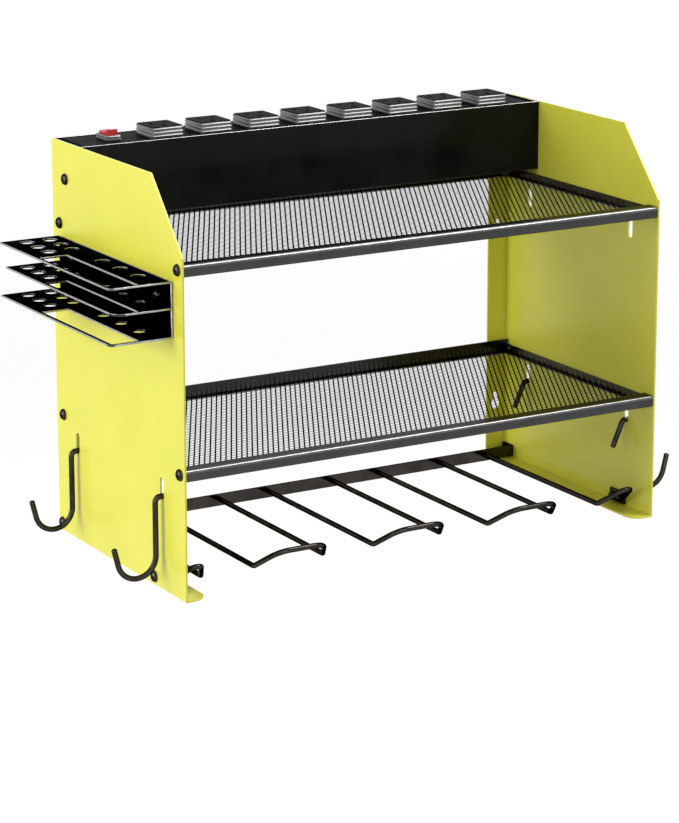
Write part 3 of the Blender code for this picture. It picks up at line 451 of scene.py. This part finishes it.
def edge_highlight_finish(name, colours, roughness, metallic=1.0):
    """The thin coat on a sheet's edges, painted paler as a highlight along them, varying in short
    stretches.
    """
    finish = new_finish(name, colours[0], roughness[0], metallic)
    drift(finish, noise(finish, 5 * MM, 4.0), colours, (0.38, 0.62), roughness)
    set_socket(finish, "Normal", relief(finish, noise(finish, 0.8 * MM, 2.0), 0.015 * MM, 0.3))
    return finish


# Paler edge finishes: painted highlights along the sheets' cut edges.
EDGE_FINISHES = {
    "powder_coat": edge_highlight_finish(
        "lime_coat_edge_highlight", ((0.82, 0.80, 0.13), (0.87, 0.86, 0.24)), (0.24, 0.32), metallic=0.0
    ),
    "black_coat": edge_highlight_finish(
        "black_coat_edge_highlight", ((0.13, 0.13, 0.13), (0.24, 0.24, 0.235)), (0.20, 0.28)
    ),
    "gloss_coat": edge_highlight_finish(
        "gloss_coat_edge_highlight", ((0.36, 0.36, 0.34), (0.50, 0.50, 0.47)), (0.16, 0.24)
    ),
}


MESH_COAT = low_glare_coat(
    "black_coat_on_mesh", ((0.040, 0.040, 0.041), (0.052, 0.052, 0.053)), (0.18, 0.26)
)
HOLDER_COAT = low_glare_coat(
    "black_coat_on_holder", ((0.012, 0.012, 0.012), (0.020, 0.020, 0.019)), (0.12, 0.18)
)
# The holder's sheet edges are painted pale grey as a highlight.
HOLDER_EDGE_HIGHLIGHT = edge_highlight_finish("holder_sheet_edge_highlight", ((0.34, 0.34, 0.33), (0.44, 0.44, 0.43)), (0.18, 0.24))
# Olive-tinted black on the rims' inner faces: a painted reflection of the lime side plates.
RIM_REFLECTION_COAT = low_glare_coat("black_coat_on_rims_painted_reflection", ((0.15, 0.14, 0.09), (0.21, 0.20, 0.13)), (0.18, 0.26))
# A paler, more metallic crest: a painted highlight along the lip's top bend.
LIP_CREST_HIGHLIGHT = edge_highlight_finish("lip_crest_painted_highlight", ((0.11, 0.11, 0.11), (0.15, 0.15, 0.149)), (0.15, 0.21))


# Pieces

def unit(vectors):
    """Vectors divided by their own length."""
    return vectors / np.linalg.norm(vectors, axis=-1, keepdims=True)


def add_piece(name, mesh, body, finish_slot, replaced=()):
    """Links a finished mesh, gives it its finish, and lets it ride on a body in place of CAD nodes."""
    mesh.materials.clear()
    mesh.materials.append(FINISHES[finish_slot])
    piece = bpy.data.objects.new(name, mesh)
    bpy.context.scene.collection.objects.link(piece)
    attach(piece, body)
    if replaced:
        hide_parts(*replaced)
    return piece


def values(items, field, width=1, kind=float):
    """One field of every item of a mesh, as an array with a row of the given width for each item."""
    flat = np.empty(len(items) * width, kind)
    items.foreach_get(field, flat)
    return flat if width == 1 else flat.reshape(-1, width)


def closed_mesh(name, points, faces, smooth_angle):
    """A mesh from points and faces, with its faces turned outwards and its real corners kept sharp."""
    mesh = bpy.data.meshes.new(name)
    mesh.from_pydata(points, [], faces)
    shape = bmesh.new()
    shape.from_mesh(mesh)
    bmesh.ops.recalc_face_normals(shape, faces=shape.faces)
    shape.to_mesh(mesh)
    shape.free()
    mesh.shade_smooth()
    mesh.set_sharp_from_angle(angle=math.radians(smooth_angle))
    return mesh


def swept_faces(count, across, ring_closed=False):
    """Quads between neighbouring rings of points. Open runs of rings get a face on each end."""
    index = np.arange(count * across).reshape(count, across)
    first = index if ring_closed else index[:-1]
    second = np.roll(index, -1, axis=0) if ring_closed else index[1:]
    quads = np.stack([first, np.roll(first, -1, 1), np.roll(second, -1, 1), second], axis=-1)
    faces = quads.reshape(-1, 4).tolist()
    if not ring_closed:
        faces.append(index[0][::-1].tolist())
        faces.append(index[-1].tolist())
    return faces


def bent_line(corners, radii, steps):
    """A line through corners, whose inner corners become bends of their own radius.

    A bend leaves the line at radius * tan(turn / 2) before its corner. A point on it is its
    start + heading * radius * sin(a) + side * radius * (1 - cos(a)), with a from 0 to the turn.
    """
    corners = np.asarray(corners, float)
    radius = np.asarray(radii, float)[:, None]
    back = unit(corners[:-2] - corners[1:-1])
    ahead = unit(corners[2:] - corners[1:-1])
    turn = math.pi - np.arccos(np.clip(np.sum(back * ahead, axis=1, keepdims=True), -1, 1))
    start = corners[1:-1] + back * radius * np.tan(turn / 2)
    side = unit(ahead + back * -np.sum(ahead * back, axis=1, keepdims=True))
    angle = turn * np.linspace(0, 1, steps)
    along = -back[:, None, :] * (radius * np.sin(angle))[:, :, None]
    aside = side[:, None, :] * (radius * (1 - np.cos(angle)))[:, :, None]
    bends = (start[:, None, :] + along + aside).reshape(-1, 3)
    return np.concatenate([corners[:1], bends, corners[-1:]])


def wire_mesh(name, line, reference, tip):
    """A round wire: a circle carried along a line, with rounded tips.

    A ring lies across the line's heading, set out from a reference direction that the wire
    never runs along. Near an end its radius is WIRE_RADIUS * cos(a) at tip * (1 - sin(a)) from it.
    """
    a = np.radians(TIP_ANGLES)
    inset = tip * (1 - np.sin(a))
    first = line[0] + unit(line[1] - line[0]) * inset[:, None]
    last = line[-1] + unit(line[-2] - line[-1]) * inset[::-1, None]
    path = np.concatenate([first, line[1:-1], last])
    size = WIRE_RADIUS * np.concatenate([np.cos(a), np.ones(len(line) - 2), np.cos(a[::-1])])
    heading = unit(np.gradient(path, axis=0))
    side = unit(np.cross(heading, reference))
    rise = np.cross(side, heading)
    turn = np.linspace(0, 2 * math.pi, WIRE_SIDES, endpoint=False)
    circle = np.cos(turn)[None, :, None] * side[:, None, :] + np.sin(turn)[None, :, None] * rise[:, None, :]
    rings = path[:, None, :] + size[:, None, None] * circle
    return closed_mesh(name, rings.reshape(-1, 3), swept_faces(len(path), WIRE_SIDES), smooth_angle=60)


def cut_faces(mesh, places):
    """Which faces lie along a sheet's cut: long flat strips, no wider than the sheet is thick.

    A strip with a neighbour in its own plane belongs to a wider face, so it isn't a cut.
    """
    starts = values(mesh.polygons, "loop_start", kind=int)
    spots = places[values(mesh.loops, "vertex_index", kind=int)]
    size = np.maximum.reduceat(spots, starts) - np.minimum.reduceat(spots, starts)
    width = np.sort(size, axis=1)[:, 1]
    slanted = (size[:, 2] > NARROWEST_SLANT) & (size[:, 2] < WIDEST_CUT)
    heading = values(mesh.polygons, "normal", 3)
    edges = values(mesh.loops, "edge_index", kind=int)
    order = np.argsort(edges)
    owner = np.repeat(np.arange(len(starts)), values(mesh.polygons, "loop_total", kind=int))[order]
    shared = np.flatnonzero(np.diff(edges[order]) == 0)
    pairs = np.stack([owner[shared], owner[shared + 1]])
    in_one_plane = np.sum(heading[pairs[0]] * heading[pairs[1]], axis=1) > SAME_PLANE
    alone = np.ones(len(starts), bool)
    alone[pairs[:, in_one_plane]] = False
    return alone & (size.max(axis=1) > SHORTEST_CUT) & ((width < WIDEST_CUT) | slanted)


def inner_sides(mesh):
    """Which faces of a tray stand along its left and right side and look inwards."""
    heading = values(mesh.polygons, "normal", 3)[:, 0]
    centre = values(mesh.polygons, "center", 3)[:, 0]
    return heading * np.sign(centre) < -FACING


def rounded(piece, name, limit, width, segments=BEND_SEGMENTS):
    """A bevel with its own limit, width and number of steps."""
    bevel = piece.modifiers.new(name, "BEVEL")
    bevel.limit_method = limit
    bevel.width = width
    bevel.segments = segments
    return bevel


def softened(node, name, finish_slot, edge, is_bend=None, bend_radius=None, crest=None, body="frame"):
    """A copy of a CAD node with its triangles joined into faces, its bends rounded and its edges softened.

    The crest is a Y and a Z. The bend along it gets a paler finish of its own, a painted highlight.
    """
    shape = bmesh.new()
    shape.from_mesh(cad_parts[node].data)
    bmesh.ops.remove_doubles(shape, verts=shape.verts, dist=WELD)
    bmesh.ops.dissolve_limit(shape, angle_limit=FLAT_ANGLE, verts=shape.verts, edges=shape.edges)
    mesh = bpy.data.meshes.new(name)
    shape.to_mesh(mesh)
    shape.free()
    if mesh.has_custom_normals:
        mesh.attributes.remove(mesh.attributes["custom_normal"])
    mesh.shade_smooth()
    piece = add_piece(name, mesh, body, finish_slot, [node])
    places = values(mesh.vertices, "co", 3)
    if is_bend is not None:
        pairs = places[values(mesh.edges, "vertices", 2, int)]
        weights = is_bend(pairs).astype(float)
        mesh.attributes.new("bevel_weight_edge", "FLOAT", "EDGE").data.foreach_set("value", weights)
        rounded(piece, "fold", "WEIGHT", bend_radius)
    if crest is not None:
        near = np.abs(places[:, 1:] - crest) < TOUCH
        group = piece.vertex_groups.new(name="crest")
        group.add(np.flatnonzero(near.all(axis=1)).tolist(), 1, "REPLACE")
        # The crest gets its own finish, a paler painted highlight along the bend.
        crest_highlight = rounded(piece, "crest", "VGROUP", bend_radius)
        crest_highlight.vertex_group = "crest"
        crest_highlight.material = CREST_HIGHLIGHT_FINISH
    soft = rounded(piece, "soft_edges", "ANGLE", edge, 2)
    soft.angle_limit = SHARP_ANGLE
    # Cut faces get the paler edge finish, a painted highlight along the sheet's cut.
    if finish_slot in EDGE_FINISHES:
        mesh.materials.append(EDGE_FINISHES[finish_slot])
        finishes = cut_faces(mesh, places).astype(np.int32) * CUT_HIGHLIGHT_FINISH
        mesh.polygons.foreach_set("material_index", finishes)
        soft.material = CUT_HIGHLIGHT_FINISH
    flat = piece.modifiers.new("flat_faces", "WEIGHTED_NORMAL")
    flat.weight = 100
    return piece


def both_at(pairs, axis, value):
    """Whether both ends of each edge lie at a value on an axis."""
    return np.all(np.abs(pairs[:, :, axis] - value) < TOUCH, axis=1)


def side_plates():
    """Folded plates, rounded where they bend into the wall flange and the bottom flange."""
    for side, node in ((-1, "left_side_plate"), (1, "right_side_plate")):
        face = side * HALF_WIDTH

        def is_bend(pairs):
            outer = both_at(pairs, 0, face)
            return outer & (both_at(pairs, 1, 0) | both_at(pairs, 2, BOTTOM))

        softened(node, node + "_folded", "powder_coat", SHEET_EDGE, is_bend, PLATE_BEND)


def shelf_trays():
    """Trays, rounded where the lip bends out of the ledge and into its return.

    The lip's crest, where it bends into its return, is painted paler as a highlight, and the side rims'
    inner faces are tinted olive as a painted reflection of the lime plates.
    """
    for level in ("lower", "upper"):
        node = level + "_shelf_tray"
        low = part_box(node)[0]

        def is_bend(pairs):
            return both_at(pairs, 1, low.y) & both_at(pairs, 2, low.z)

        crest = (low.y, low.z + LIP_HEIGHT)
        tray = softened(node, node + "_folded", "black_coat", TRAY_EDGE, is_bend, LIP_RADIUS, crest)
        mesh = tray.data
        # Slot 2 is the crest's painted highlight, and slot 3 is the rims' painted olive reflection.
        mesh.materials.append(LIP_CREST_HIGHLIGHT)
        mesh.materials.append(RIM_REFLECTION_COAT)
        finishes = values(mesh.polygons, "material_index", kind=np.int32)
        # The inner side faces get the painted olive reflection.
        finishes[inner_sides(mesh)] = RIM_REFLECTION_FINISH
        mesh.polygons.foreach_set("material_index", finishes)


def shelf_decks():
    """Decks of expanded mesh, in place of the CAD model's coarse diamonds.

    A diamond's middle is a point of a grid of half widths and half lengths, where column + row is
    odd. Four strands run round its opening, which is the diamond shrunk by the root of OPEN_SHARE.
    The opening's right corner lies STRAND_TILT higher than its left one.
    """
    for level in ("lower", "upper"):
        node = level + "_shelf_mesh"
        low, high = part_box(node)
        columns = 2 * round((high.x - low.x) / DIAMOND_WIDTH)
        rows = 2 * round((high.y - low.y) / DIAMOND_LENGTH)
        half_x, half_y = (high.x - low.x) / columns, (high.y - low.y) / rows
        column, row = np.meshgrid(np.arange(columns + 1), np.arange(rows + 1), indexing="ij")
        mine = (column + row) % 2 == 1
        centre = np.stack([column[mine], row[mine]], axis=-1).astype(float)
        corner = np.array([(1, 0), (0, 1), (-1, 0), (0, -1)], float)
        outer = np.zeros((len(centre), 4, 3))
        outer[:, :, :2] = centre[:, None, :] + corner
        inner = outer.copy()
        inner[:, :, :2] = centre[:, None, :] + corner * np.sqrt(OPEN_SHARE)
        inner[:, :, 2] = corner[:, 0]
        strands = np.stack([outer, np.roll(outer, -1, 1), np.roll(inner, -1, 1), inner], axis=2)
        flat = strands.reshape(-1, 4, 3)
        plan = flat[:, :, :2]
        end = np.array([columns, rows])
        inside = np.all((plan >= -GRID_SLACK) & (plan <= end + GRID_SLACK), axis=(1, 2))
        spots, index = np.unique(np.round(flat[inside].reshape(-1, 3), 5), axis=0, return_inverse=True)
        half_tilt = STRAND_TILT / 2
        points = spots * (half_x, half_y, half_tilt) + (low.x, low.y, high.z - half_tilt)
        mesh = bpy.data.meshes.new(node + "_expanded")
        mesh.from_pydata(points, [], index.reshape(-1, 4).tolist())
        deck = add_piece(node + "_expanded", mesh, "frame", "black_coat", [node])
        mesh.materials[0] = MESH_COAT
        wall = deck.modifiers.new("strand_thickness", "SOLIDIFY")
        wall.thickness = STRAND_THICKNESS
        wall.offset = -1


def screw_mesh(name, place, out):
    """A domed screw: rings round its axis, out from the cross recess to the rim, then down the shank.

    The dome's height is rise * sqrt(1 - (r / radius)^2). The recess sinks by its depth where the
    nearer of the cross's two arms is closer than RECESS_WIDTH, with a slope along its sides and ends.
    """
    turn = np.linspace(0, 2 * math.pi, HEAD_SIDES, endpoint=False)
    reach = np.array(DOME_RINGS + RIM_AND_SHANK_RINGS) * MM
    radius = np.broadcast_to(reach[:, None], (len(reach), HEAD_SIDES))
    x, y = radius * np.cos(turn), radius * np.sin(turn)
    dome = HEAD_RISE * np.sqrt(np.clip(1 - (radius / HEAD_RADIUS) ** 2, 0, 1))
    arm = np.minimum(np.abs(x), np.abs(y))
    across = np.clip((RECESS_WIDTH - arm) / RECESS_SIDE_SLOPE, 0, 1)
    along = np.clip((RECESS_RADIUS - radius) / RECESS_END_SLOPE, 0, 1)
    height = dome - RECESS_DEPTH * across * along
    height[len(DOME_RINGS):] = np.array(RIM_AND_SHANK_HEIGHTS)[:, None] * MM
    axis = np.array(out, float)
    side = unit(np.cross(axis, (0, 0, 1.0)))
    rise = np.cross(side, axis)
    points = (
        np.array(place)[None, None, :]
        + x[:, :, None] * side
        + y[:, :, None] * rise
        + height[:, :, None] * axis
    )
    return closed_mesh(name, points.reshape(-1, 3), swept_faces(len(reach), HEAD_SIDES), smooth_angle=50)


def screws():
    """Every screw stands on its own seat with its head outwards."""
    names = [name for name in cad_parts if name.startswith("screw_")]
    for name in names:
        low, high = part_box(name)
        middle = (low + high) / 2
        side = 1 if "_right_" in name else -1
        seat = high.x - HEAD_RISE if side > 0 else low.x + HEAD_RISE
        mesh = screw_mesh(name + "_domed", (seat, middle.y, middle.z), (side, 0, 0))
        add_piece(name + "_domed", mesh, "frame", "black_chrome", [name])


def hook_line():
    """The hook's middle line, flat in X and Z: a leaning tail, two elbows, a straight leg, a bow and a tip.

    The bow's points are its middle + HOOK_BOW * (cos(a), sin(a)), with a from half a turn onwards.
    """
    tail_x = -HOOK_ELBOW - math.sin(HOOK_TAIL_LEAN) * HOOK_TAIL
    tail_z = -math.cos(HOOK_TAIL_LEAN) * HOOK_TAIL
    corners = [(tail_x, 0, tail_z), (-HOOK_ELBOW, 0, 0), (HOOK_REACH, 0, 0), (HOOK_REACH, 0, -HOOK_DROP)]
    top = bent_line(corners, (HOOK_ELBOW, HOOK_ELBOW), ELBOW_STEPS)
    turn = np.linspace(math.pi, 2 * math.pi - HOOK_TIP_LEAN, BOW_STEPS)
    bow = np.zeros((BOW_STEPS, 3))
    bow[:, 0] = HOOK_REACH + HOOK_BOW + HOOK_BOW * np.cos(turn)
    bow[:, 2] = -HOOK_DROP + HOOK_BOW * np.sin(turn)
    tip = bow[-1] + HOOK_TIP * np.array([math.sin(HOOK_TIP_LEAN), 0, math.cos(HOOK_TIP_LEAN)])
    return np.concatenate([top, bow[1:], tip[None]])


def hooks():
    """Four hooks, each on its own body, mirrored on the left side."""
    line = hook_line()
    for side, side_name in ((-1, "left"), (1, "right")):
        for end in ("front", "rear"):
            name = "hook_%s_%s" % (side_name, end)
            low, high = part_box(name)
            pivot = np.array([side * (HALF_WIDTH - SHEET / 2), (low.y + high.y) / 2, high.z - WIRE_RADIUS])
            placed = line * (side, 1, 1) + pivot
            mesh = wire_mesh(name + "_wire", placed, (0, 1.0, 0), HOOK_END)
            add_piece(name + "_wire", mesh, name, "black_chrome", [name])


def drill_rack():
    """Wire loops with upturned noses: two rails, two rising legs that lean together, and a nose bar.

    An end loop's outer rail is short, because it stops in front of the tab's screw.
    """
    low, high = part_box("divider_loop_1")
    rail, nose_top = low.z + WIRE_RADIUS, high.z - WIRE_RADIUS
    nose, rail_end = low.y + WIRE_RADIUS, high.y

    def loop(name, outer_side, outer_end, outer_narrowing, bends, steps):
        low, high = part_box(name)
        outer, inner = (low.x, high.x) if outer_side < 0 else (high.x, low.x)
        outer -= outer_side * WIRE_RADIUS
        inner += outer_side * WIRE_RADIUS
        corners = [
            (outer, outer_end, rail),
            (outer, RAIL_FRONT, rail),
            (outer - outer_side * outer_narrowing, nose, nose_top),
            (inner + outer_side * NOSE_NARROWING, nose, nose_top),
            (inner, RAIL_FRONT, rail),
            (inner, rail_end, rail),
        ]
        mesh = wire_mesh(name + "_wire", bent_line(corners, bends, steps), (0, 0, 1.0), RACK_TIP)
        add_piece(name + "_wire", mesh, "frame", "black_chrome", [name])

    for number in (1, 2, 3):
        loop("divider_loop_%d" % number, -1, rail_end, NOSE_NARROWING, NOSE_BENDS, NOSE_STEPS)
    leg_end = END_LEG_SCREW - HEAD_RADIUS
    for side, side_name in ((-1, "left"), (1, "right")):
        loop(side_name + "_end_loop", side, leg_end, END_NARROWING, END_NOSE_BENDS, END_NOSE_STEPS)
        softened(side_name + "_rack_tab", side_name + "_rack_tab_plate", "black_chrome", RACK_EDGE)
    softened("rack_rear_bar", "rack_rear_bar_flat", "black_chrome", RACK_EDGE)


def tool_holder():
    """The holder's panel and its three punched tiers, with rounded sheet edges."""
    for node in ("holder_back_panel", "holder_bottom_tier", "holder_middle_tier", "holder_top_tier"):
        sheet = softened(node, node + "_sheet", "black_coat", HOLDER_EDGE_RADIUS)
        sheet.data.materials[0] = HOLDER_COAT
        # The holder's cut edges get a pale grey painted highlight.
        sheet.data.materials[CUT_HIGHLIGHT_FINISH] = HOLDER_EDGE_HIGHLIGHT
    for end in ("front", "rear"):
        softened("holder_nut_" + end, "holder_nut_%s_hex" % end, "black_chrome", NUT_EDGE)


def trough():
    """The trough with its long edges rounded."""
    node = "power_strip_trough"
    low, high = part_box(node)

    def is_bend(pairs):
        front = both_at(pairs, 1, low.y) | both_at(pairs, 1, high.y)
        return front & both_at(pairs, 2, low.z)

    softened(node, node + "_folded", "gloss_coat", SHEET_EDGE, is_bend, TROUGH_BEND)


def power_strip():
    """Housing, cover, outlets with a ribbed sleeve each, switch and gland."""
    softened("strip_base", "strip_base_moulding", "black_plastic", PLASTIC_EDGE)
    softened("strip_cover", "strip_cover_moulding", "black_plastic", PLASTIC_EDGE)
    softened("switch_body", "switch_body_moulding", "grey_plastic", PLASTIC_EDGE)
    softened("cord_gland", "cord_gland_bush", "rubber", GLAND_EDGE)
    for number in range(1, 9):
        node = "outlet_%d" % number
        softened(node, node + "_block", "black_plastic", PLASTIC_EDGE)
        ribbed_sleeve(node + "_ribs", node, ridges=3, pitch=2.9 * MM, plate=0.8 * MM, gap=0.05 * MM)
    ribbed_sleeve("switch_ribs", "switch_body", ridges=2, pitch=2.0 * MM, plate=0.3 * MM, gap=0.3 * MM)
    softened("rocker", "rocker_key", "red_plastic", ROCKER_EDGE, body="rocker")


def bus_bars():
    """The three bars inside the strip keep their CAD shape and get the rolled brass."""
    for name in ("neutral_bus_bar", "live_bus_bar", "ground_bus_bar"):
        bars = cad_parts[name].data.materials
        for place in range(len(bars)):
            bars[place] = FINISHES["brass"]


def ribbed_sleeve(name, node, ridges, pitch, plate, gap):
    """A sleeve round a block, under its top plate: a ridged profile carried along a rounded rectangle.

    A point is its corner's middle + (SLEEVE_CORNER + the profile's reach) * (cos(a), sin(a)), with a
    through a full turn. From the top down, a ridge slopes out, drops over its tip and steps back in
    at about half a pitch. The sleeve stops at least a gap above the strip's cover.
    """
    low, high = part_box(node)
    top = high.z - plate
    drop = (np.arange(ridges)[:, None] + np.array(RIDGE_DROP)).ravel() * pitch
    outer_level = top - drop
    bottom = max(outer_level[-1] - GROOVE_DROP * pitch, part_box("strip_cover")[1].z + gap)
    level = np.concatenate([outer_level, [bottom, bottom, top]])
    reach = np.tile(np.array(RIDGE_REACH) * MM, ridges)
    offset = np.concatenate([reach, [SLEEVE_GAP, SLEEVE_INSET, SLEEVE_INSET]])
    half = np.array([(high.x - low.x) / 2 - SLEEVE_CORNER, (high.y - low.y) / 2 - SLEEVE_CORNER])
    turn = np.linspace(0, math.pi / 2, SLEEVE_CORNER_STEPS)
    quarter = np.stack([np.cos(turn), np.sin(turn)], axis=-1)
    outward = np.concatenate([
        quarter, quarter[:, ::-1] * (-1, 1), quarter * -1, quarter[:, ::-1] * (1, -1)
    ])
    signs = np.repeat(np.array([(1, 1), (-1, 1), (-1, -1), (1, -1)]), SLEEVE_CORNER_STEPS, axis=0)
    middle = np.array([(low.x + high.x) / 2, (low.y + high.y) / 2])
    distance = (SLEEVE_CORNER + offset)[None, :, None]
    points = np.empty((len(outward), len(offset), 3))
    points[:, :, :2] = (signs * half + middle)[:, None, :] + outward[:, None, :] * distance
    points[:, :, 2] = level
    faces = swept_faces(len(outward), len(offset), ring_closed=True)
    mesh = closed_mesh(name, points.reshape(-1, 3), faces, smooth_angle=30)
    add_piece(name, mesh, "frame", "grey_plastic")


set_camera()
set_world()
set_floor()
soft_box("key_light", (1.1, -0.6, 1.75), width=1.3, height=1.05, power=50)
soft_box("left_light", (-2.1, 0.2, 0.3), width=1.7, height=1.7, power=37)
soft_box("front_light", (-0.6, -2.4, 0.5), width=1.4, height=1.4, power=10)

side_plates()
shelf_trays()
shelf_decks()
trough()
power_strip()
bus_bars()
tool_holder()
drill_rack()
hooks()
screws()

bpy.context.scene.view_settings.view_transform = "Standard"
